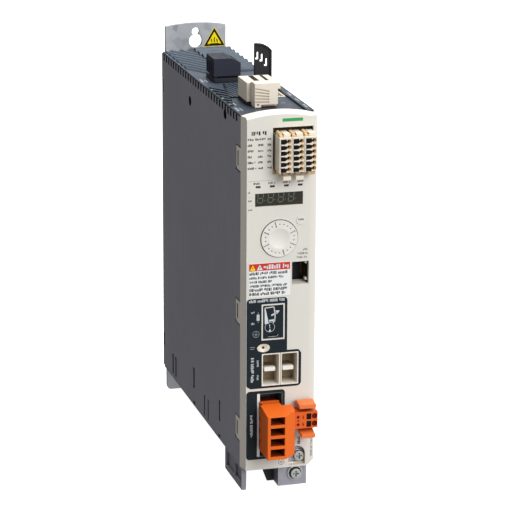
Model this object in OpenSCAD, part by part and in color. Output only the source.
// Compact book-style servo drive for panel mounting, with plug-in terminals and an operator panel.
// Origin: centre of the rear mounting face. +Z up, the front faces -Y. Millimetres.

/* [Housing] */
// Width of the housing across both side panels
body_w = 48; // [46:1:52]
// Height of the top edge of the side panels above the origin
side_top = 116; // [115:1:118]
// Depth from the mounting face to the face of the front cover
face_depth = 225; // [222:1:230]
// Depth of the front cover, from its face to the side panels
cover_depth = 9; // [8.5:0.5:10]
// Sheet thickness of the side panels
panel_t = 1.2; // [1:0.1:1.5]

/* [Mounting plate] */
// Thickness of the rear mounting plate
plate_t = 3; // [2.5:0.5:4]
// Width of the two mounting tabs
tab_w = 44; // [40:1:45]
// Distance from the top fixing hole to the bottom fixing slot
fixing_pitch = 258; // [257:0.5:259]
// Height of the top fixing hole above the origin
fixing_top_z = 130.7; // [130:0.1:131]
// Radius of the fixing hole and the fixing slot, for an M5 screw
fixing_r = 2.75; // [2.6:0.05:2.9]
// Radius of the keyhole's entry for the screw head
entry_r = 4.8; // [4.6:0.1:5]

/* [Operator panel] */
// Radius of the turn-and-push dial
dial_r = 12; // [11:0.25:12.5]
// Gap round the dial
dial_gap = 0.5; // [0.3:0.05:0.6]
// Radius of the escape button
esc_r = 3; // [2.5:0.25:3.5]

/* [Connectors] */
// Number of terminals in each signal plug
io_rows = 6; // [4:1:6]
// Distance between the rows of a signal plug
io_pitch = 3.6; // [3.5:0.05:3.65]
// Distance between the poles of the motor plug
motor_pitch = 7.15; // [6.8:0.05:7.2]
// Distance between the poles of the plugs on the top and of the brake plug
small_pitch = 5.08; // [5:0.01:5.1]

/* [Cooling] */
// Number of cooling fins on the heat sink
fin_count = 11; // [7:1:13]
// Number of blades on the fan
blade_count = 7; // [5:1:9]

/* [Hidden] */

$fn = 64;
half_w = body_w / 2;
in_w = half_w - panel_t;
side_bottom = -116;
face_y = -face_depth;
cover_y = face_y + cover_depth;
wall_t = 2.5;
wall_y = face_y + wall_t;
roof_z = side_top + 1.2;
floor_z = side_bottom - 1.2;
over = 1;
hair = 0.01;
// Cover: height and curvature of its arched top edge, lower edge, and how far the left side leans in
arch_z = 120.2;
arch_r = 92;
cover_floor = -117.5;
cover_lean = 1.6;
// Snap tabs on the cover's sides: height of each tab's middle
tab_zs = [88.4, -13, -92.2];
snap_h = 15;
snap_reach = 10.7;
// Louvres along the top of the side panels
louvre_pitch = 7.1;
louvre_count = 29;
louvre_w = 3.4;
louvre_h = 4.6;
// Board that carries the front connectors
board_y = -206;
board_t = 1.6;
// Fronts of the sockets behind the cover, and backs of their cavities
socket_front = -220;
socket_end = -211;
// Openings in the face of the cover, as [[low x, high x], [low z, high z]]
io_open = [[-5.4, 21.2], [80.3, 110.2]];
display_open = [[-16.9, 14.6], [59.6, 68.1]];
comms_open = [[7.8, 19], [6.8, 21.8]];
flap_open = [[-11.4, 2.2], [-28.3, -6]];
dc_open = [[-12, 12.7], [-60.3, -38.3]];
motor_open = [[-14.9, 2.6], [-108.7, -65.2]];
brake_open = [[8.4, 20.9], [-87.3, -76.5]];
led_xs = [-14.9, -5.6, 3.6, 12.7];
led_z = 72.4;
dial_c = [-0.8, 38];
shaft_r = 3;
esc_c = [13.4, 49.2];
esc_gap = 0.15;
// Raised rim round the brake resistor's knock-out
flap_rim = 0.9;
cup_c = [-10.8, -34.4];
cup_half = [4.2, 2.7];
// Back of the cavities of the DC bus socket
dc_end = -212.5;
// Dark labels: left edge, corner radius and thickness
label_left = -22.1;
label_corner = 2.2;
label_t = 0.2;
jack_shelf_y = -214;
// Recess round the protective earth screw
earth_x = [6.4, 17.8];
earth_z = [-116.2, -103.2];
earth_screw_at = [14.4, -111.2];
bracket_screw_at = [12.3, -123.4];
bracket_y = -220;
bracket_t = 1.5;
bracket_low = -132;
// Front of the dark screen behind the bracket
shield_y = -209;
// Tapped holes and the screws in them
tapped_r = 2.1;
screw_r = 2.05;
// Signal plugs
io_w = 8;
io_step = 8.2;
io_z = [83.3, 105.7];
io_front = -235.5;
io_back = -211;
io_first = 2.6;
io_lever_x = -1.3;
io_hole_x = 2.2;
io_mouth_r = 1.45;
io_hole_r = 0.9;
// Motor plug
motor_z = [-103.2, -71.8];
motor_front = -247;
// Back of the wire openings, where the clamping plates lie
clamp_y = -231;
// Brake plug
brake_x = [7.4, 22.9];
brake_z = [-87.5, -76.3];
brake_front = -236;
brake_rows = [-79.6, -79.6 - small_pitch];
brake_button_x = 16.9;
// Hinge pins of the release levers, as [Y, Z]
lever_top = [-227.6, -73];
lever_low = [-227.6, -90.2];
lever_pin_r = 0.6;
// Plugs on the top
mains_x = [-15.4, 3];
mains_y = [-115, -94.6];
mains_deck = 120.6;
sto_x = [-12.7, 7.5];
sto_y = [-188.6, -166.8];
sto_deck = 119.4;
sto_top = 132;
// Bottoms of the sockets under the roof and of the plugs in them
well_z = 103;
well_floor = 105;
plug_low = 107;
encoder_x = [9.2, 19.2];
encoder_y = [-168, -152];
// Front and back of the cable guide
guide_y = [-119.3, -117.3];
guide_x = [11.3, 23.2];
// Wide bars of the roof: distance from one to the next, how many, and the line where they turn
bar_pitch = 11.4;
bar_count = 7;
bar_y = -8.5;
fold_x = -2;
// Depth to which the bars and ribs reach into the roof
rooted = 0.4;
// Power stage
sink_x = 21;
sink_z = [-92, 100];
sink_y = [-61, -55];
module_y = [-69, -61];
module_screw_x = 12;
module_screw_zs = [-35, 15];
power_board_x = [-19, -17.4];
// Fan
fan_c = [0, -60];
fan_half = 20;
fan_z = [side_bottom, side_bottom + 16];
fan_bore_r = 18.6;
fan_pin_r = 1.5;
fan_hub_r = 7;
blade_r = 17.8;
spider_t = 1.6;
// Poles of the motor plug: middle of the top one
first_pole = -77.2;

cream = [0.89, 0.87, 0.82];
charcoal = [0.31, 0.31, 0.33];
slate = [0.27, 0.31, 0.36];
navy = [0.14, 0.18, 0.21];
orange = [0.93, 0.47, 0.24];
black = [0.06, 0.06, 0.07];
zinc = [0.65, 0.66, 0.67];
white = [0.93, 0.93, 0.92];
green = [0.1, 0.35, 0.2];

// Box between two limits on each axis
module block(x, y, z) {
    translate([x[0], y[0], z[0]])
        cube([x[1] - x[0], y[1] - y[0], z[1] - z[0]]);
}

// Outline in X and Z, extruded from y[0] to y[1]
module front_prism(y) {
    translate([0, y[1], 0])
        rotate([90, 0, 0])
            linear_extrude(y[1] - y[0])
                children();
}

// Outline in Y and Z, extruded from x[0] to x[1]
module side_prism(x) {
    translate([x[0], 0, 0])
        rotate([90, 0, 90])
            linear_extrude(x[1] - x[0])
                children();
}

// Round bar along Y at an XZ place
module rod_y(at, r, y) {
    translate([at[0], y[1], at[1]])
        rotate([90, 0, 0])
            cylinder(r = r, h = y[1] - y[0]);
}

// Rectangle between two limits on each axis, with round corners
module round_rect(x, z, r) {
    translate([x[0] + r, z[0]])
        square([x[1] - x[0] - 2 * r, z[1] - z[0]]);
    translate([x[0], z[0] + r])
        square([x[1] - x[0], z[1] - z[0] - 2 * r]);
    for (cx = [x[0] + r, x[1] - r])
        for (cz = [z[0] + r, z[1] - r])
            translate([cx, cz])
                circle(r);
}

module rect(x, z) {
    translate([x[0], z[0]])
        square([x[1] - x[0], z[1] - z[0]]);
}

// Straight line of a given width, as an outline
module line(a, b, w) {
    along = (b - a) / norm(b - a);
    side = [-along[1], along[0]] * w / 2;
    polygon([a + side, b + side, b - side, a - side]);
}

// Line from a to b that turns at p, with a mitred corner
module bent_line(a, p, b, w) {
    in = (p - a) / norm(p - a);
    out = (b - p) / norm(b - p);
    side_in = [-in[1], in[0]];
    side_out = [-out[1], out[0]];
    mitre = (side_in + side_out) / (1 + side_in * side_out);
    polygon([a + side_in * w / 2, p + mitre * w / 2, b + side_out * w / 2,
        b - side_out * w / 2, p - mitre * w / 2, a - side_in * w / 2]);
}

// Ellipse as a many-sided outline
module oval(at, half) {
    steps = 48;
    polygon([for (i = [0:steps - 1]) at + [half[0] * cos(360 * i / steps), half[1] * sin(360 * i / steps)]]);
}

// Pan-head screw that looks along -Y, with its washer and a crossed recess; its shank is screw_r in radius
module pan_screw(at, face, head_r, washer_r, shank) {
    washer_t = 1;
    head_h = 3.4;
    recess_deep = 1.2;
    arm = head_r * 0.6;
    arm_half = 0.45;
    difference() {
        union() {
            rod_y(at, washer_r, [face - washer_t, face]);
            rod_y(at, head_r, [face - head_h, face - washer_t]);
        }
        for (half = [[arm_half, arm], [arm, arm_half]])
            block([at[0] - half[0], at[0] + half[0]], [face - head_h - over, face - head_h + recess_deep],
                [at[1] - half[1], at[1] + half[1]]);
    }
    rod_y(at, screw_r, [face, face + shank]);
}

// ---- Frame and housing ----

module back_plate() {
    tab_crown = 2;
    tab_top = 137;
    tab_low = -135;
    tab_root = 10;
    corner = 3;
    keyhole_drop = 6.8;
    crown_r = (pow(tab_w / 2, 2) + pow(tab_crown, 2)) / (2 * tab_crown);
    slot_z = fixing_top_z - fixing_pitch;
    slot_len = 12;
    color(zinc)
        front_prism([-plate_t, 0])
            difference() {
                union() {
                    rect([-in_w, in_w], [side_bottom, side_top]);
                    intersection() {
                        round_rect([-tab_w / 2, tab_w / 2], [side_top - tab_root, tab_top], corner);
                        translate([0, tab_top - crown_r])
                            circle(crown_r, $fn = 180);
                    }
                    round_rect([-tab_w / 2, tab_w / 2], [tab_low, side_bottom + tab_root], corner);
                }
                translate([0, fixing_top_z])
                    circle(fixing_r);
                translate([0, fixing_top_z - keyhole_drop])
                    circle(entry_r);
                translate([0, slot_z])
                    circle(fixing_r);
                rect([-fixing_r, fixing_r], [slot_z - slot_len, slot_z]);
            }
}

// Sheet side panel with louvres, cable-tie slots and cut-outs for the cover's snap tabs
module side_panel(side) {
    x = side > 0 ? [in_w, half_w] : [-half_w, -in_w];
    first_louvre = -8.5;
    slot_h = 15;
    // Each slot: distance in front of the mounting face, half width, top
    slots = [[29.7, 2.2, -99], [38.3, 2.2, -99], [92, 2.3, -89.5], [122.3, 1.4, -99.5],
        [132.4, 1.4, -99.5], [163.2, 1.6, -89.5]];
    // Centres of the two round holes, as [Y, Z]
    holes = [[-82.7, 98.5], [-176.7, 109.6]];
    hole_r = 3.4;
    // Notches in the rear edge, for the mounting plate's lugs
    notch = [4, 9.6];
    notch_zs = [88.2, -100.6];
    // Notches in the bottom edge
    foot_notch = [5.5, 2.2];
    foot_notch_ys = [-96, -166];
    tab_gap = 0.8;
    color(charcoal)
        side_prism(x)
            difference() {
                rect([cover_y, 0], [side_bottom, side_top]);
                for (i = [0:louvre_count - 1])
                    translate([first_louvre - i * louvre_pitch, side_top - louvre_h])
                        square([louvre_w, louvre_h + over]);
                for (s = slots)
                    rect([-s[0] - s[1], -s[0] + s[1]], [max(s[2] - slot_h, side_bottom - over), s[2]]);
                for (h = holes)
                    translate(h)
                        circle(hole_r);
                for (z = notch_zs)
                    rect([-notch[0], over], [z, z + notch[1]]);
                for (y = foot_notch_ys)
                    rect([y, y + foot_notch[0]], [side_bottom - over, side_bottom + foot_notch[1]]);
                for (z = tab_zs)
                    rect([cover_y - over, cover_y + snap_reach + tab_gap],
                        [z - snap_h / 2 - tab_gap, z + snap_h / 2 + tab_gap]);
            }
}

module left_side_panel() {
    side_panel(-1);
}

module right_side_panel() {
    side_panel(1);
}

// Rounded bar along X, from x[0] to x[1], that stands up from the roof
module wide_bar(x, y, w, h) {
    r = (w * w / 4 + h * h) / (2 * h);
    intersection() {
        block(x, [y - w / 2, y + w / 2], [roof_z - rooted, roof_z + h]);
        translate([x[0] - over, y, roof_z + h - r])
            rotate([0, 90, 0])
                cylinder(r = r, h = x[1] - x[0] + 2 * over);
    }
}

// Ventilated roof: wide bars at the back that turn to the left, bent ribs in front of the mains plug,
// and a raised right border
module top_grille() {
    deck_top = roof_z + 1.3;
    border_x = 19.6;
    left_x = -22.4;
    // Width and height of the bars on the right and on the left of the fold
    bar = [9, 2.8];
    low_bar = [4.4, 1];
    gap_x = [fold_x + 1.5, 21];
    gap_half = 1;
    slant = [0.49, -0.87];
    slant_len = (fold_x - left_x) / slant[0];
    spare = 10;
    back_zone = [[left_x, -5], [fold_x, -5], [fold_x, -88], [left_x, -88]];
    // Bent ribs: their corners lie on a line that runs forward and to the left
    first_rib = 3;
    last_bent = 5;
    last_rib = 9;
    rib = [2, 0.9];
    rib_end = -165;
    turn_from = [-10.5, -122];
    turn_step = [-1.24, -7.3];
    rib_back = [-0.545, 0.84];
    rib_front = [0.24, -0.97];
    // Straight ribs on the right of the turn, with slots between them
    right_pitch = 3.3;
    right_count = 8;
    right_len = 42;
    slot_w = 1.1;
    front_zone = [[-23, -123], [18.6, -123], [18.6, -150], [8, -150], [8, rib_end], [-23, rib_end]];
    slot_zone = [[-9, -126], [17, -126], [17, -147], [6, -147], [6, -162], [-9, -162]];
    color(slate) {
        difference() {
            block([-half_w, half_w], [cover_y, -plate_t], [side_top, roof_z]);
            for (plug = [[mains_x, mains_y], [sto_x, sto_y]])
                block(plug[0] + [over, -over], plug[1] + [over, -over], [side_top - over, roof_z + over]);
            block(encoder_x, encoder_y, [side_top - over, roof_z + over]);
            // Gaps between the wide bars
            for (i = [1:bar_count]) {
                gap_y = bar_y + bar_pitch / 2 - i * bar_pitch;
                block(gap_x, [gap_y - gap_half, gap_y + gap_half], [side_top - over, roof_z + over]);
            }
            translate([0, 0, side_top - over])
                linear_extrude(roof_z - side_top + 2 * over)
                    intersection() {
                        polygon(slot_zone);
                        for (i = [0:right_count]) {
                            a = turn_from + [(i + 0.5) * right_pitch, 0];
                            line(a, a + rib_front * right_len, slot_w);
                        }
                    }
        }
        for (i = [0:bar_count - 1])
            wide_bar([fold_x, half_w], bar_y - i * bar_pitch, bar[0], bar[1]);
        intersection() {
            translate([0, 0, roof_z - rooted])
                linear_extrude(low_bar[1] + rooted)
                    polygon(back_zone);
            for (i = [0:bar_count + 1])
                translate([fold_x, bar_y - i * bar_pitch, 0])
                    rotate(atan2(slant[1], slant[0]) + 180)
                        wide_bar([-spare, slant_len + spare], 0, low_bar[0], low_bar[1]);
        }
        translate([0, 0, roof_z - rooted])
            linear_extrude(rib[1] + rooted) {
                for (i = [first_rib:last_rib]) {
                    corner = turn_from + i * turn_step;
                    start = corner + rib_back * (corner[0] - left_x) / -rib_back[0];
                    if (i > last_bent)
                        line(start, corner, rib[0]);
                    else
                        bent_line(start, corner, corner + rib_front * (rib_end - corner[1]) / rib_front[1],
                            rib[0]);
                }
                intersection() {
                    polygon(front_zone);
                    union() {
                        for (i = [0:first_rib - 1]) {
                            corner = turn_from + i * turn_step;
                            line(corner, corner + rib_front * right_len, rib[0]);
                        }
                        for (i = [1:right_count]) {
                            a = turn_from + [i * right_pitch, 0];
                            line(a - rib_front, a + rib_front * (right_len + 2), rib[0]);
                        }
                    }
                }
            }
        // Raised border on the right, beside the connectors
        block([border_x, half_w], [cover_y, guide_y[0] - 1], [roof_z, deck_top]);
    }
}

module bottom_grille() {
    // Each row of slots: length, width, pitch, count and the first slot's Y
    rows = [[32, 2.6, 4.8, 8, -78], [34, 4, 7, 12, -182]];
    color(charcoal)
        difference() {
            block([-half_w, half_w], [cover_y, -plate_t], [floor_z, side_bottom]);
            for (row = rows)
                for (i = [0:row[3] - 1])
                    translate([-row[0] / 2, row[4] + i * row[2], floor_z - over])
                        cube([row[0], row[1], side_bottom - floor_z + 2 * over]);
        }
}

// Face outline of the cover, arched along the top
module cover_outline(inset) {
    chamfer = 3.6;
    chamfer_x = half_w - 5.2;
    arch_base = 100;
    low = cover_floor + inset;
    side = half_w - inset;
    polygon([[-side, low], [chamfer_x, low], [side, low + chamfer], [side, arch_base], [-side, arch_base]]);
    intersection() {
        rect([-side, side], [arch_base - over, arch_z]);
        translate([0, arch_z - arch_r])
            circle(arch_r - inset, $fn = 240);
    }
}

// Snap tab that reaches back beside the side panel
module snap_tab(side, z) {
    x = side > 0 ? [in_w, half_w] : [-half_w, -in_w];
    root = cover_y - 0.5;
    end = cover_y + snap_reach;
    low = z - snap_h / 2;
    corner = 2;
    slot_y = cover_y + 5.4;
    slot_w = 2.2;
    slot_half = 5;
    side_prism(x)
        difference() {
            polygon([[root, z + snap_h / 2], [end, z + snap_h / 2], [end, low + corner], [end - corner, low],
                [root, low]]);
            rect([slot_y, slot_y + slot_w], [z - slot_half, z + slot_half]);
        }
}

module front_cover() {
    edge = 1.5;
    bevel_low = 110;
    tall = 400;
    skin = 2;
    // The face falls away to the right of this line
    slope_x = 19.4;
    slope_drop = 1.2;
    // Upright outline of the recess for the earth screw, with a round top
    earth_r = (earth_x[1] - earth_x[0]) / 2;
    earth_mid = (earth_x[0] + earth_x[1]) / 2;
    led_half = [1.6, 0.7];
    bracket_way = [0.6, 20.7];
    bracket_way_h = 3.8;
    shelf_gap = 0.7;
    rim_h = 0.5;
    color(cream) {
        difference() {
            front_prism([face_y, cover_y])
                cover_outline(0);
            // Bevel along the arched top edge of the face
            difference() {
                block([-half_w - over, half_w + over], [face_y - over, face_y + edge],
                    [bevel_low, arch_z + over]);
                translate([0, face_y - over, arch_z - arch_r])
                    rotate([-90, 0, 0])
                        cylinder(r1 = arch_r - edge - over, r2 = arch_r + over, h = edge + 2 * over,
                            $fn = 240);
            }
            front_prism([wall_y, cover_y + over])
                cover_outline(skin);
            // The left side leans in towards the face, and the face slopes away on the right
            linear_extrude(tall, center = true) {
                polygon([[-half_w + cover_lean, face_y - hair], [-half_w - hair, face_y - hair],
                    [-half_w - hair, cover_y]]);
                polygon([[slope_x, face_y - hair], [half_w + hair, face_y - hair],
                    [half_w + hair, face_y + slope_drop]]);
            }
            // Way out for the earth bracket
            block(bracket_way, [bracket_y - 0.3, cover_y + over],
                [cover_floor - over, cover_floor + bracket_way_h]);
            front_prism([face_y - over, wall_y + over]) {
                for (o = [io_open, display_open, comms_open, flap_open, dc_open, motor_open, brake_open])
                    rect(o[0], o[1]);
                for (x = led_xs)
                    rect([x - led_half[0], x + led_half[0]], [led_z - led_half[1], led_z + led_half[1]]);
                translate(dial_c)
                    circle(dial_r + dial_gap);
                translate(esc_c)
                    circle(esc_r + esc_gap);
                oval(cup_c, cup_half);
                rect(earth_x, [earth_z[0], earth_z[1] - earth_r]);
                intersection() {
                    rect(earth_x, [earth_z[1] - earth_r - over, earth_z[1] + over]);
                    translate([earth_mid, earth_z[1] - earth_r])
                        circle(earth_r);
                }
            }
        }
        for (side = [-1, 1])
            for (z = tab_zs)
                snap_tab(side, z);
        front_prism([face_y - rim_h, face_y])
            difference() {
                rect(flap_open[0] + [-flap_rim, flap_rim], flap_open[1] + [-flap_rim, flap_rim]);
                rect(flap_open[0], flap_open[1]);
            }
        // Shelf that leads the plug into the service jack
        block(comms_open[0] + [shelf_gap, -shelf_gap], [wall_y - over, jack_shelf_y],
            [comms_open[1][0] - over, comms_open[1][0]]);
    }
}

// Moulded foot under the left panel, with two pockets on its outer face
module left_foot() {
    x = [-half_w, -20.8];
    y = [-221, -178.4];
    low = -132.3;
    pocket_x = -22.4;
    // Each pocket: its limits in Y, then in Z
    pockets = [[[-202, -182.2], [-128.6, -118.6]], [[-219.4, -204.8], [-127.6, -118.6]]];
    color([0.4, 0.38, 0.42])
        difference() {
            block(x, y, [low, floor_z]);
            for (p = pockets)
                block([x[0] - over, pocket_x], p[0], p[1]);
            // Clears the side of the cover
            block(x + [-over, over], [y[0] - over, cover_y + 0.3], [cover_floor - 0.1, floor_z + over]);
        }
}

// Dark sheet behind the bracket, which screens the cable entries
module rear_shield() {
    top = [-9, 3.6];
    low = [-3.4, 3.6];
    color([0.2, 0.2, 0.22])
        front_prism([shield_y, shield_y + 1.2])
            polygon([[top[0], floor_z], [low[0], bracket_low], [low[1], bracket_low], [top[1], floor_z]]);
}

// Angle that carries both earth screws, folded back under the housing
module earth_bracket() {
    x = [1, 20.3];
    // The upper part is narrower
    upper_x = 4.5;
    step_z = -109.5;
    top = -101;
    fold_t = [1.2, 1.4];
    fold_end = shield_y - 0.2;
    color(zinc)
        difference() {
            union() {
                block(x, [bracket_y, bracket_y + bracket_t], [bracket_low, step_z]);
                block([upper_x, x[1]], [bracket_y, bracket_y + bracket_t], [step_z, top]);
                block(x, [bracket_y + bracket_t, fold_end], [floor_z - fold_t[1], floor_z]);
                block([x[0], x[0] + fold_t[0]], [bracket_y + bracket_t, fold_end],
                    [bracket_low, floor_z - fold_t[1]]);
            }
            for (at = [earth_screw_at, bracket_screw_at])
                rod_y(at, tapped_r, [bracket_y - over, bracket_y + bracket_t + over]);
        }
}

// Protective earth screw in the recess and cable-screen screw below it
module earth_screws() {
    head_r = 3.3;
    shank = 7;
    color(zinc) {
        pan_screw(earth_screw_at, bracket_y, head_r, 4.1, shank);
        pan_screw(bracket_screw_at, bracket_y, head_r, 5.2, shank);
    }
}

// One hooked slot, which leaves a tongue for a cable tie
module guide_hook(at) {
    w = 2.3;
    slot_w = 1.4;
    high = 5.2;
    rect([at[0] + w - slot_w, at[0] + w], [at[1], at[1] + high]);
    rect([at[0], at[0] + w], [at[1], at[1] + slot_w]);
}

// Outline of the cable guide, with an arched top that falls to the right
module guide_outline(inset) {
    arch = 13.4;
    arch_x = guide_x[0] + 1.6;
    high = 143.4;
    x = guide_x - [0, inset];
    difference() {
        intersection() {
            rect(x, [roof_z, high - inset]);
            translate([arch_x, high - arch])
                circle(arch - inset, $fn = 120);
        }
        rect(guide_x + [-over, over], [roof_z - over, high - arch]);
    }
    rect(x, [roof_z, high - arch + 0.1]);
}

module cable_guide() {
    rib = 1.3;
    rib_t = 0.8;
    hooks = [[12, 132.3], [15, 130.8], [18.1, 127.6]];
    color(black) {
        front_prism(guide_y)
            difference() {
                guide_outline(0);
                for (at = hooks)
                    guide_hook(at);
            }
        // Stiffening edge along the arch and down the right side
        front_prism([guide_y[0] - rib_t, guide_y[0]])
            difference() {
                guide_outline(0);
                guide_outline(rib);
                rect([guide_x[0] - over, guide_x[0] + over], [roof_z - over, arch_z + 30]);
            }
    }
}

// ---- Power stage ----

module heat_sink() {
    fin_t = 1.4;
    fin_step = (2 * sink_x - fin_t) / (fin_count - 1);
    color([0.7, 0.71, 0.73]) {
        block([-sink_x, sink_x], sink_y, sink_z);
        for (i = [0:fin_count - 1])
            translate([-sink_x + i * fin_step, sink_y[1], sink_z[0]])
                cube([fin_t, -sink_y[1] - plate_t, sink_z[1] - sink_z[0]]);
    }
}

module power_module() {
    x = [-14, 17];
    z = [-40, 20];
    color(black)
        difference() {
            block(x, module_y, z);
            for (hole_z = module_screw_zs)
                rod_y([module_screw_x, hole_z], tapped_r, module_y + [-over, over]);
        }
}

module module_screws() {
    color(zinc)
        for (z = module_screw_zs)
            pan_screw([module_screw_x, z], module_y[0], 3.2, 3.9, module_y[1] - module_y[0]);
}

module power_board() {
    color(green)
        block(power_board_x, [board_y + board_t, module_y[0] - 0.6], sink_z);
}

// Three storage capacitors that stand off the power board
module capacitors() {
    // The sleeve, and the narrower end that stands out of it, as [radius, height]
    steps = [[15, 34], [13, 35]];
    y = -110;
    zs = [-48, -14, 20];
    color(navy)
        for (z = zs)
            translate([power_board_x[1], y, z])
                rotate([0, 90, 0])
                    for (step = steps)
                        cylinder(r = step[0], h = step[1]);
}

module line_choke() {
    ring_r = 11;
    coil_r = 6.5;
    color([0.62, 0.36, 0.18])
        translate([power_board_x[1] + coil_r, -150, 50])
            rotate([0, 90, 0])
                rotate_extrude()
                    translate([ring_r, 0])
                        circle(coil_r);
}

module relay() {
    size = [15.4, 29, 16];
    color([0.15, 0.3, 0.55])
        translate([power_board_x[1], -172, -10])
            cube(size);
}

module control_board() {
    z = [-95, 111];
    color(green)
        block([-in_w, in_w], [board_y, board_y + board_t], z);
}

// Square frame with a spider that carries the impeller's pin
module fan_frame() {
    arm_half = 1;
    pin_h = 11;
    color(black)
        translate([fan_c[0], fan_c[1], fan_z[0]]) {
            difference() {
                block([-fan_half, fan_half], [-fan_half, fan_half], [0, fan_z[1] - fan_z[0]]);
                translate([0, 0, -over])
                    cylinder(r = fan_bore_r, h = fan_z[1] - fan_z[0] + 2 * over);
            }
            cylinder(r = fan_hub_r, h = spider_t);
            cylinder(r = fan_pin_r, h = pin_h);
            for (a = [45:90:315])
                rotate(a)
                    block([fan_hub_r - 0.3, fan_bore_r + 0.3], [-arm_half, arm_half], [0, spider_t]);
        }
}

module fan_impeller() {
    root_r = fan_hub_r - 0.8;
    hub_h = 12;
    bore_h = 10;
    blade_half = [0.6, 5];
    blade_tilt = 38;
    color([0.16, 0.16, 0.17])
        translate([fan_c[0], fan_c[1], fan_z[0] + spider_t + 0.8])
            difference() {
                union() {
                    cylinder(r = fan_hub_r, h = hub_h);
                    for (i = [0:blade_count - 1])
                        rotate(i * 360 / blade_count)
                            translate([root_r, 0, hub_h / 2])
                                rotate([blade_tilt, 0, 0])
                                    block([0, blade_r - root_r], [-blade_half[0], blade_half[0]],
                                        [-blade_half[1], blade_half[1]]);
                }
                translate([0, 0, -over])
                    cylinder(r = fan_pin_r + 0.05, h = bore_h + over);
            }
}

// ---- Plugs on the top ----

module mains_socket() {
    skirt = 1.1;
    wall = 2.2;
    collar = [-2, 1];
    color(slate)
        difference() {
            union() {
                block(mains_x, mains_y + collar, [roof_z, mains_deck - 0.4]);
                block(mains_x + [skirt, -skirt], mains_y + [skirt, -skirt], [well_z, roof_z]);
            }
            block(mains_x + [wall, -wall], mains_y + [wall, -wall], [well_floor, mains_deck + over]);
        }
}

module mains_plug() {
    low = mains_deck + 0.7;
    ridge_x = -3.5;
    crown = 133.2;
    slope_end = 130;
    slope = 27;
    core = 2.4;
    foot = 1.6;
    foot_in = [0.6, 0.4];
    // Wire mouths in the slope, and release slots in the crown
    mouth = [1.7, 12];
    mouth_at = [0.2, 131.5];
    slot = [[-2.6, -0.8], 1.2];
    slot_floor = 130;
    // Coding ribs on the left side
    rib = [0.5, 1.4];
    color([0.2, 0.22, 0.26])
        difference() {
            union() {
                front_prism(mains_y)
                    polygon([[mains_x[0], low], [mains_x[0], crown], [ridge_x, crown],
                        [mains_x[1], slope_end], [mains_x[1], low]]);
                block(mains_x + [core, -core], mains_y + [core, -core], [plug_low, low]);
                // Feet that stand on the socket, so that a gap shows between them
                for (x = [mains_x[0] + foot_in[0], mains_x[1] - foot_in[0] - foot])
                    translate([x, mains_y[0] + foot_in[1], mains_deck - 0.4])
                        cube([foot, foot, low - mains_deck + 0.4]);
                for (i = [0:3])
                    translate([mains_x[0] - rib[0], mains_y[0] + 2 + i * small_pitch, low + 1])
                        cube([rib[0], rib[1], crown - low - 4]);
            }
            for (i = [0:3])
                translate([0, mains_y[0] + 2.6 + i * small_pitch, 0]) {
                    translate([mouth_at[0], 0, mouth_at[1]])
                        rotate([0, slope, 0])
                            translate([0, 0, 3 - mouth[1]])
                                cylinder(r = mouth[0], h = mouth[1], $fn = 32);
                    block([ridge_x, ridge_x] + slot[0], [-slot[1] / 2, slot[1] / 2],
                        [slot_floor, crown + over]);
                }
        }
}

module sto_socket() {
    skirt = 1.1;
    wall = 2.2;
    color(slate)
        difference() {
            union() {
                block(sto_x, sto_y, [roof_z, sto_deck]);
                block(sto_x + [skirt, -skirt], sto_y + [skirt, -skirt], [well_z, roof_z]);
            }
            block(sto_x + [wall, -wall], sto_y + [wall, -wall], [well_floor, sto_deck + over]);
        }
}

// Two rows of spring terminals: wire mouths on the left and release slots on the right
module sto_plug() {
    core = 2.4;
    low = sto_deck + 0.2;
    rows = [[-6.4, -3.1], [1.2, 3.3]];
    slot_count = 8;
    slot_pitch = small_pitch / 2;
    slot_in = 1.2;
    slot_w = 1.5;
    slot_deep = 3;
    // Shallow steps on the left side: first Y and lower end, then their size
    step_at = [3, sto_deck + 1.6];
    step = [0.25, 1.2, 8];
    color(cream)
        difference() {
            union() {
                block(sto_x, sto_y, [low, sto_top]);
                block(sto_x + [core, -core], sto_y + [core, -core], [plug_low, low]);
            }
            for (row = rows)
                for (i = [0:slot_count - 1])
                    translate([row[0], sto_y[0] + slot_in + i * slot_pitch, sto_top - slot_deep])
                        cube([row[1] - row[0], slot_w, slot_deep + over]);
            for (i = [0:3])
                translate([sto_x[0] - over, sto_y[0] + step_at[0] + i * small_pitch, step_at[1]])
                    cube(step + [over, 0, 0]);
        }
}

// Grip in front of the plug, with five fanned grooves on its left part
module sto_release() {
    x = [-9.9, 5.3];
    y = [-198, sto_y[0]];
    low = roof_z + 0.3;
    top = sto_top + 1;
    lip = [2, 4];
    foot_w = 4.1;
    foot_h = 1.7;
    // Fanned grooves: ends of the lowest one, how far apart the ends are, width and depth
    groove_ends = [[x[0] - over, 121.3], [-0.4, 120.8]];
    groove_steps = [[0, 2.2], [0, 1.75]];
    groove = [0.8, 0.7];
    eye = [-7.8, 119.3];
    color(cream)
        difference() {
            union() {
                block(x, y, [low, top]);
                block([x[1] - over, x[1] + lip[0]], y + [over, 0], [top - lip[1], top]);
            }
            front_prism([y[0] - over, y[0] + groove[1]])
                for (i = [0:4])
                    line(groove_ends[0] + i * groove_steps[0], groove_ends[1] + i * groove_steps[1],
                        groove[0]);
            block([x[0] + foot_w, x[1] + over], [y[0] - over, y[0] + 3], [low - over, low + foot_h]);
            // Latch eye
            rod_y(eye, 0.7, [y[0] - over, y[0] + 1.2]);
        }
}

module encoder_jack() {
    wall = 1.2;
    low = 104;
    color(cream)
        difference() {
            block(encoder_x, encoder_y, [low, roof_z + 0.1]);
            block(encoder_x + [wall, -wall], encoder_y + [wall, -wall], [low + 2, roof_z + over]);
        }
}

// ---- Signal plugs ----

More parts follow.
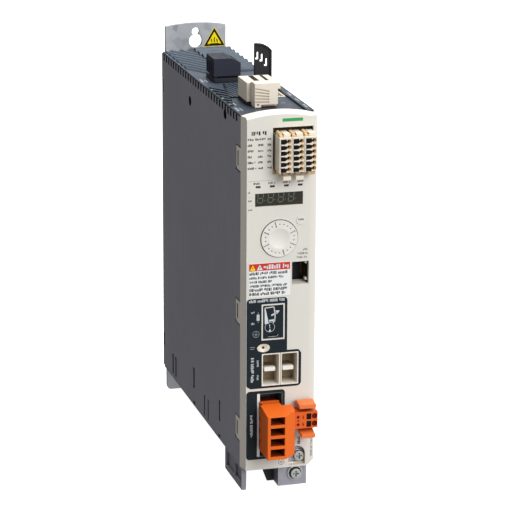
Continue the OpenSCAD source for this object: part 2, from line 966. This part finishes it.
module io_header() {
    x = [-5.2, 21];
    z = [80.5, 110];
    cavity_x = [-4.3, 20.7];
    cavity_z = [82.9, 106.1];
    cavity_end = -209.5;
    color(black)
        difference() {
            block(x, [socket_front, board_y], z);
            block(cavity_x, [socket_front - over, cavity_end], cavity_z);
        }
}

// Signal plug number n, with its rows of release levers and wire mouths
module io_plug(n) {
    cx = n * io_step;
    side = cx - io_w / 2;
    lever = [cx + io_lever_x - 1.9, cx + io_lever_x + 1.9];
    lever_deep = 9;
    pocket_half = 1.65;
    rebate = 0.9;
    bar_half = 0.2;
    tab = [lever[1] - 1.4, lever[1] - 0.5];
    mouth_deep = 2.2;
    hole_deep = 8;
    // Ladder of small recesses on the left side
    rung = [2.2, 1.3, 0.3];
    // Latch on the top: a high and a low part
    latch = [[[-0.6, 3.7], -233.5, 2], [[-3.6, -1.2], -230, 1.2]];
    latch_end = -222.8;
    // Coding tongue underneath
    tongue_x = [-1.2, 3.8];
    tongue_y = [-235, -227.5];
    tongue_z = [-5, -2.6];
    stem_x = [-0.4, 3];
    stem_y = -230.5;
    color(cream) {
        difference() {
            block([side, side + io_w], [io_front, io_back], io_z);
            for (i = [0:io_rows - 1]) {
                z = io_z[1] - io_first - i * io_pitch;
                mouth = [cx + io_hole_x, z + 0.2];
                block(lever, [io_front - over, io_front + lever_deep], [z - pocket_half, z + pocket_half]);
                rod_y(mouth, io_mouth_r, [io_front - over, io_front + mouth_deep]);
                rod_y(mouth, io_hole_r, [io_front, io_front + hole_deep]);
                for (y = [io_front + 2, io_front + 5.4])
                    block([side - over, side + rung[2]], [y, y + rung[0]], [z - rung[1], z + rung[1]]);
            }
            // The bars between the pockets lie back, apart from one tab in each
            for (i = [0:io_rows - 2]) {
                z = io_z[1] - io_first - (i + 0.5) * io_pitch;
                for (x = [[lever[0], tab[0]], [tab[1], lever[1]]])
                    block(x, [io_front - over, io_front + rebate], [z - bar_half, z + bar_half]);
            }
        }
        for (part = latch)
            block([cx, cx] + part[0], [part[1], latch_end], [io_z[1], io_z[1] + part[2]]);
        // The last plug has no tongue
        if (n < 2) {
            block([cx, cx] + tongue_x, tongue_y, [io_z[0], io_z[0]] + tongue_z);
            block([cx, cx] + stem_x, [stem_y, tongue_y[1]], [io_z[0] + tongue_z[1], io_z[0]]);
        }
    }
}

module io_plug_1() {
    io_plug(0);
}

module io_plug_2() {
    io_plug(1);
}

module io_plug_3() {
    io_plug(2);
}

module io_levers(n) {
    cx = n * io_step + io_lever_x;
    half = [1.7, 1.45];
    proud = 0.5;
    deep = 7.5;
    color(black)
        for (i = [0:io_rows - 1]) {
            z = io_z[1] - io_first - i * io_pitch;
            block([cx - half[0], cx + half[0]], [io_front - proud, io_front + deep],
                [z - half[1], z + half[1]]);
        }
}

module io_levers_1() {
    io_levers(0);
}

module io_levers_2() {
    io_levers(1);
}

module io_levers_3() {
    io_levers(2);
}

// ---- Operator panel ----

module status_leds() {
    half = [1.5, 0.6];
    color([0.2, 0.12, 0.1])
        for (x = led_xs)
            block([x - half[0], x + half[0]], [face_y + 0.3, socket_front],
                [led_z - half[1], led_z + half[1]]);
}

module display_module() {
    margin = [0.9, 2.1];
    color([0.2, 0.22, 0.2])
        block(display_open[0] + [margin[0], -margin[0]], [wall_y + 0.2, board_y],
            display_open[1] + [-margin[1], margin[1]]);
}

module display_window() {
    gap = 0.1;
    color([0.2, 0.22, 0.2, 0.6])
        block(display_open[0] + [gap, -gap], [face_y + 0.7, wall_y + 0.2], display_open[1] + [gap, -gap]);
}

module dial_encoder() {
    half = 6.5;
    front = -216;
    bore_end = -209;
    color(zinc)
        difference() {
            block([dial_c[0] - half, dial_c[0] + half], [front, board_y],
                [dial_c[1] - half, dial_c[1] + half]);
            rod_y(dial_c, shaft_r + 0.05, [front - over, bore_end]);
        }
}

// Plunger of the rotary encoder, which the dial turns on
module dial_shaft() {
    y = [-224.1, -210.5];
    color(zinc)
        rod_y(dial_c, shaft_r, y);
}

// Dial with a finger dish, six index grooves and sixteen dots
module jog_dial() {
    dish_r = 6.9;
    dish_depth = 22;
    dish_ball = sqrt(pow(dish_depth, 2) + pow(dish_r, 2));
    ring = (dial_r + dish_r) / 2;
    crown = face_y - 0.9;
    rim_end = face_y + 1.6;
    hub_r = 5;
    hub_end = -218;
    bore_end = -224.3;
    // Grooves and dots: half width or radius, and depth
    groove = [0.35, 0.8];
    groove_r = [dish_r + 0.8, dial_r - 0.5];
    dot = [0.45, 0.6];
    marks = 22;
    first_angle = -106;
    // Marks that are grooves, counted within each half turn
    grooves = [0, 3, 6];
    color(cream)
        difference() {
            union() {
                rod_y(dial_c, dial_r, [crown, rim_end]);
                rod_y(dial_c, hub_r, [rim_end, hub_end]);
            }
            rod_y(dial_c, shaft_r + 0.05, [bore_end, hub_end + over]);
            translate([dial_c[0], crown - dish_depth, dial_c[1]])
                sphere(r = dish_ball, $fn = 96);
            for (i = [0:marks - 1])
                translate([dial_c[0], 0, dial_c[1]])
                    rotate([0, first_angle - i * 360 / marks, 0])
                        if (len(search(i % 11, grooves)) > 0)
                            block(groove_r, [crown - over, crown + groove[1]], [-groove[0], groove[0]]);
                        else
                            translate([ring, crown + dot[1], 0])
                                rotate([90, 0, 0])
                                    cylinder(r = dot[0], h = dot[1] + over, $fn = 16);
        }
}

module esc_switch() {
    half = 3;
    front = -217.6;
    color(black)
        block([esc_c[0] - half, esc_c[0] + half], [front, board_y], [esc_c[1] - half, esc_c[1] + half]);
}

module esc_button() {
    proud = 0.3;
    cap_end = face_y + 2.6;
    stem_r = 1.2;
    stem_end = -218.2;
    color(cream) {
        rod_y(esc_c, esc_r, [face_y - proud, cap_end]);
        rod_y(esc_c, stem_r, [cap_end, stem_end]);
    }
}

// Eight-way jack, open underneath at the front where the cover's shelf leads in
module comms_jack() {
    shell_x = [7, 19.6];
    shell_z = [5.6, 22.6];
    x = comms_open[0] + [0.5, -0.4];
    z = comms_open[1] + [0.1, -0.6];
    cavity_end = -210;
    color(black)
        difference() {
            block(shell_x, [wall_y, board_y], shell_z);
            block(x, [wall_y - over, cavity_end], z);
            block(x, [wall_y - over, jack_shelf_y + 0.2], [shell_z[0] - over, z[1]]);
        }
}

// Eight sprung contacts at the back of the jack
module comms_contacts() {
    contact = [1, 1.8, 0.5];
    first = [17.4, -211.8, 9.3];
    pitch = 1.4;
    color([0.8, 0.65, 0.3])
        for (i = [0:7])
            translate(first + [0, 0, i * pitch])
                cube(contact);
}

// ---- Labels and openings on the lower front ----

module warning_label() {
    x = [-20.9, 6.7];
    z = [0, 22.4];
    color(white)
        block(x, [face_y - 0.15, face_y], z);
}

module upper_label() {
    low = -61;
    color(navy)
        front_prism([face_y - label_t, face_y])
            difference() {
                union() {
                    round_rect([label_left, 4.9], [low, -1.1], label_corner);
                    round_rect([-8, 13.8], [low, -36.9], label_corner);
                }
                rect(flap_open[0] + [-flap_rim, flap_rim], flap_open[1] + [-flap_rim, flap_rim]);
                rect(dc_open[0], dc_open[1]);
                oval(cup_c, cup_half + [0.15, 0.15]);
            }
}

module lower_label() {
    z = [-110.2, -63.4];
    color(navy)
        front_prism([face_y - label_t, face_y])
            difference() {
                round_rect([label_left, 3.7], z, label_corner);
                rect(motor_open[0], motor_open[1]);
            }
}

// Socket for an external braking resistor, behind its knock-out
module resistor_socket() {
    x = [-11, 1.8];
    z = [-27.9, -6.4];
    cell_x = [-8.6, -0.6];
    cell_zs = [-24.4, -17.2, -10];
    cell_half = 2.3;
    color(cream)
        difference() {
            block(x, [socket_front, board_y], z);
            for (cell = cell_zs)
                block(cell_x, [socket_front - over, -209], [cell - cell_half, cell + cell_half]);
        }
}

// Knock-out plate with a slot for a screwdriver
module resistor_cover() {
    gap = 0.3;
    end = face_y + 1.6;
    slot_x = [-7.8, -1.6];
    slot_z = [-26.9, -25.7];
    color(navy)
        difference() {
            block(flap_open[0] + [gap, -gap], [face_y - label_t, end], flap_open[1] + [gap, -gap]);
            block(slot_x, [face_y - over, face_y + 1], slot_z);
        }
}

// Dished cup that leads a test probe in
module test_cup() {
    end = -218;
    gap = 0.05;
    dish_r = 5.2;
    dish_y = face_y - 4.4;
    hole_r = 0.9;
    color(cream)
        difference() {
            front_prism([face_y, end])
                oval(cup_c, cup_half - [gap, gap]);
            translate([cup_c[0], dish_y, cup_c[1]])
                sphere(r = dish_r);
            rod_y(cup_c, hole_r, [face_y - over, end - over]);
        }
}

// Twin female socket of the DC bus: two shells side by side
module dc_bus_socket() {
    wall = 0.7;
    corner = 0.9;
    groove = 1.5;
    shells = [[dc_open[0][0] + 0.1, 0.3], [0.7, dc_open[0][1] - 0.1]];
    z = dc_open[1] + [0.1, -0.1];
    color(cream)
        difference() {
            block([shells[0][0], shells[1][1]], [face_y - 0.3, board_y], z);
            for (x = shells)
                front_prism([face_y - over, dc_end])
                    round_rect(x + [wall, -wall], z + [wall, -wall], corner);
            block([shells[0][1], shells[1][0]], [face_y - over, face_y + groove], z + [-over, over]);
        }
}

module dc_bus_blades() {
    blade = [7.2, 2.8];
    at_x = [-9.6, 2.6];
    low = -50.9;
    tip = -223.4;
    color(white)
        for (x = at_x)
            front_prism([tip, dc_end])
                round_rect([x, x + blade[0]], [low, low + blade[1]], 0.6);
}

module motor_socket() {
    wall = 0.8;
    left_wall = 1;
    gap = 0.1;
    color(slate)
        difference() {
            block(motor_open[0] + [gap, -gap], [face_y + 0.4, board_y], motor_open[1] + [gap, -gap]);
            block(motor_open[0] + [gap + left_wall, -wall], [face_y - over, socket_end],
                motor_open[1] + [wall, -wall]);
        }
}

// Four-pole motor plug with a slanted top and a bevelled right side
module motor_plug() {
    x = [-13.7, -0.2];
    rear = -226;
    tongue_end = -213;
    // Corners of the bevelled right side, as [X, Y]
    right = [[-1.3, motor_front], [6.2, -240.2], [7, -231], [x[1], -231]];
    window = [[-11.7, -2.3], 2.5];
    lip_x = x + [0.5, -0.5];
    lip_y = [-227, -225.2];
    top_slope = 7.6;
    top_y = -229;
    // Bites out of the left rear edge: the top one, their pitch and size
    bite_z = -73.2;
    bite_pitch = 8;
    bite = [1.6, 2.6, 1.6];
    color(orange)
        difference() {
            union() {
                translate([0, 0, motor_z[0]])
                    linear_extrude(motor_z[1] - motor_z[0])
                        polygon(concat([[x[0], rear], [x[0], motor_front]], right, [[x[1], rear]]));
                block(x + [0.2, -0.2], [rear, tongue_end], motor_z + [0.6, 0]);
                // Lip along the rear top edge
                block(lip_x, lip_y, [motor_z[1] - 1, motor_z[1] + 1.5]);
            }
            // Slanted top
            translate([0, top_y, motor_z[1]])
                rotate([top_slope, 0, 0])
                    block([-body_w, body_w], [-body_w, 0], [0, 12]);
            for (i = [0:3])
                translate([0, 0, first_pole - i * motor_pitch])
                    block(window[0], [motor_front - over, clamp_y], [-window[1], window[1]]);
            for (i = [0:3])
                translate([x[0], rear, bite_z - i * bite_pitch])
                    block([-over, bite[0]], [-bite[1], 0.1], [-bite[2], bite[2]]);
        }
}

// Clamping plates at the back of the wire openings
module motor_clamps() {
    x = [-10.6, -3.4];
    half = 1.9;
    clamp_t = 1;
    color(zinc)
        for (i = [0:3])
            translate([0, 0, first_pole - i * motor_pitch])
                block(x, [clamp_y - clamp_t, clamp_y], [-half, half]);
}

module brake_socket() {
    gap = 0.1;
    wall = 0.8;
    color(orange)
        difference() {
            block(brake_open[0] + [gap, -gap], [face_y + 0.3, board_y], brake_open[1] + [gap, -gap]);
            block(brake_open[0] + [wall, -0.7], [face_y - over, socket_end], brake_open[1] + [wall, -wall]);
        }
}

// Two-pole plug for the holding brake
module brake_plug() {
    rear = -225.4;
    tongue_end = -213;
    mouth_x = 20.7;
    mouth_r = 1.9;
    mouth_deep = 8;
    probe_x = 9.6;
    probe = [0.8, 4];
    middle_probe = [0.5, 2];
    button_half = [1.6, 2];
    button_deep = 6;
    post_half = 1.2;
    post_end = 0.9;
    color(orange)
        difference() {
            union() {
                block(brake_x, [brake_front, rear], brake_z);
                block([9.5, 19.9], [rear, tongue_end], brake_z + [1.3, -1.3]);
                // Posts and pins that carry the release levers
                block([13.9, 17.7], [lever_top[0] - post_half, lever_top[0] + post_half],
                    [brake_z[1], lever_top[1] + post_end]);
                block([14.2, 17.8], [lever_low[0] - post_half, lever_low[0] + post_half],
                    [lever_low[1] - post_end, brake_z[0]]);
                side_prism([10.6, 21])
                    translate(lever_top)
                        circle(lever_pin_r);
                side_prism([12, 20.4])
                    translate(lever_low)
                        circle(lever_pin_r);
            }
            for (z = brake_rows) {
                rod_y([probe_x, z], probe[0], [brake_front - over, brake_front + probe[1]]);
                rod_y([mouth_x, z], mouth_r, [brake_front - over, brake_front + mouth_deep]);
                block([brake_button_x - button_half[0], brake_button_x + button_half[0]],
                    [brake_front - over, brake_front + button_deep],
                    [z - button_half[1], z + button_half[1]]);
            }
            rod_y([probe_x, (brake_rows[0] + brake_rows[1]) / 2], middle_probe[0],
                [brake_front - over, brake_front + middle_probe[1]]);
        }
}

// Release lever in the given side outline, with two eyes round its hinge pin at the back
module release_lever(x, fork_x, pin) {
    eye_r = 1.4;
    fork_half = [eye_r + 0.5, 2];
    difference() {
        union() {
            side_prism(x)
                children();
            translate([x[0], pin[0], pin[1]])
                rotate([0, 90, 0])
                    cylinder(r = eye_r, h = x[1] - x[0]);
        }
        translate([x[0] - over, pin[0], pin[1]])
            rotate([0, 90, 0])
                cylinder(r = lever_pin_r + 0.05, h = x[1] - x[0] + 2 * over);
        block(fork_x, [pin[0] - fork_half[0], pin[0] + fork_half[0]],
            [pin[1] - fork_half[1], pin[1] + fork_half[1]]);
    }
}

module brake_lever_top() {
    color(orange)
        release_lever([10.2, 21.4], [13.2, 18.4], lever_top)
            polygon([[-237.2, -73.8], [-237.2, -71.2], [-229.5, -70.2], [-227.2, -70.6], [-227.2, -73.4],
                [-229.5, -73.9]]);
}

// Slanted down to the front
module brake_lever_bottom() {
    color(orange)
        release_lever([11.6, 20.8], [13.6, 18.4], lever_low)
            polygon([[-238.2, -93.7], [-238.2, -91.3], [-227.6, -89.1], [-227.6, -91.3]]);
}

module brake_buttons() {
    half = [1.45, 1.85];
    proud = 0.4;
    deep = 4.6;
    color(black)
        for (z = brake_rows)
            block([brake_button_x - half[0], brake_button_x + half[0]],
                [brake_front - proud, brake_front + deep], [z - half[1], z + half[1]]);
}

back_plate();
left_side_panel();
right_side_panel();
top_grille();
bottom_grille();
front_cover();
left_foot();
rear_shield();
earth_bracket();
earth_screws();
cable_guide();
heat_sink();
power_module();
module_screws();
power_board();
capacitors();
line_choke();
relay();
control_board();
fan_frame();
fan_impeller();
mains_socket();
mains_plug();
sto_socket();
sto_plug();
sto_release();
encoder_jack();
io_header();
io_plug_1();
io_plug_2();
io_plug_3();
io_levers_1();
io_levers_2();
io_levers_3();
status_leds();
display_module();
display_window();
dial_encoder();
dial_shaft();
jog_dial();
esc_switch();
esc_button();
comms_jack();
comms_contacts();
warning_label();
upper_label();
lower_label();
resistor_socket();
resistor_cover();
test_cup();
dc_bus_socket();
dc_bus_blades();
motor_socket();
motor_plug();
motor_clamps();
brake_socket();
brake_plug();
brake_lever_top();
brake_lever_bottom();
brake_buttons();
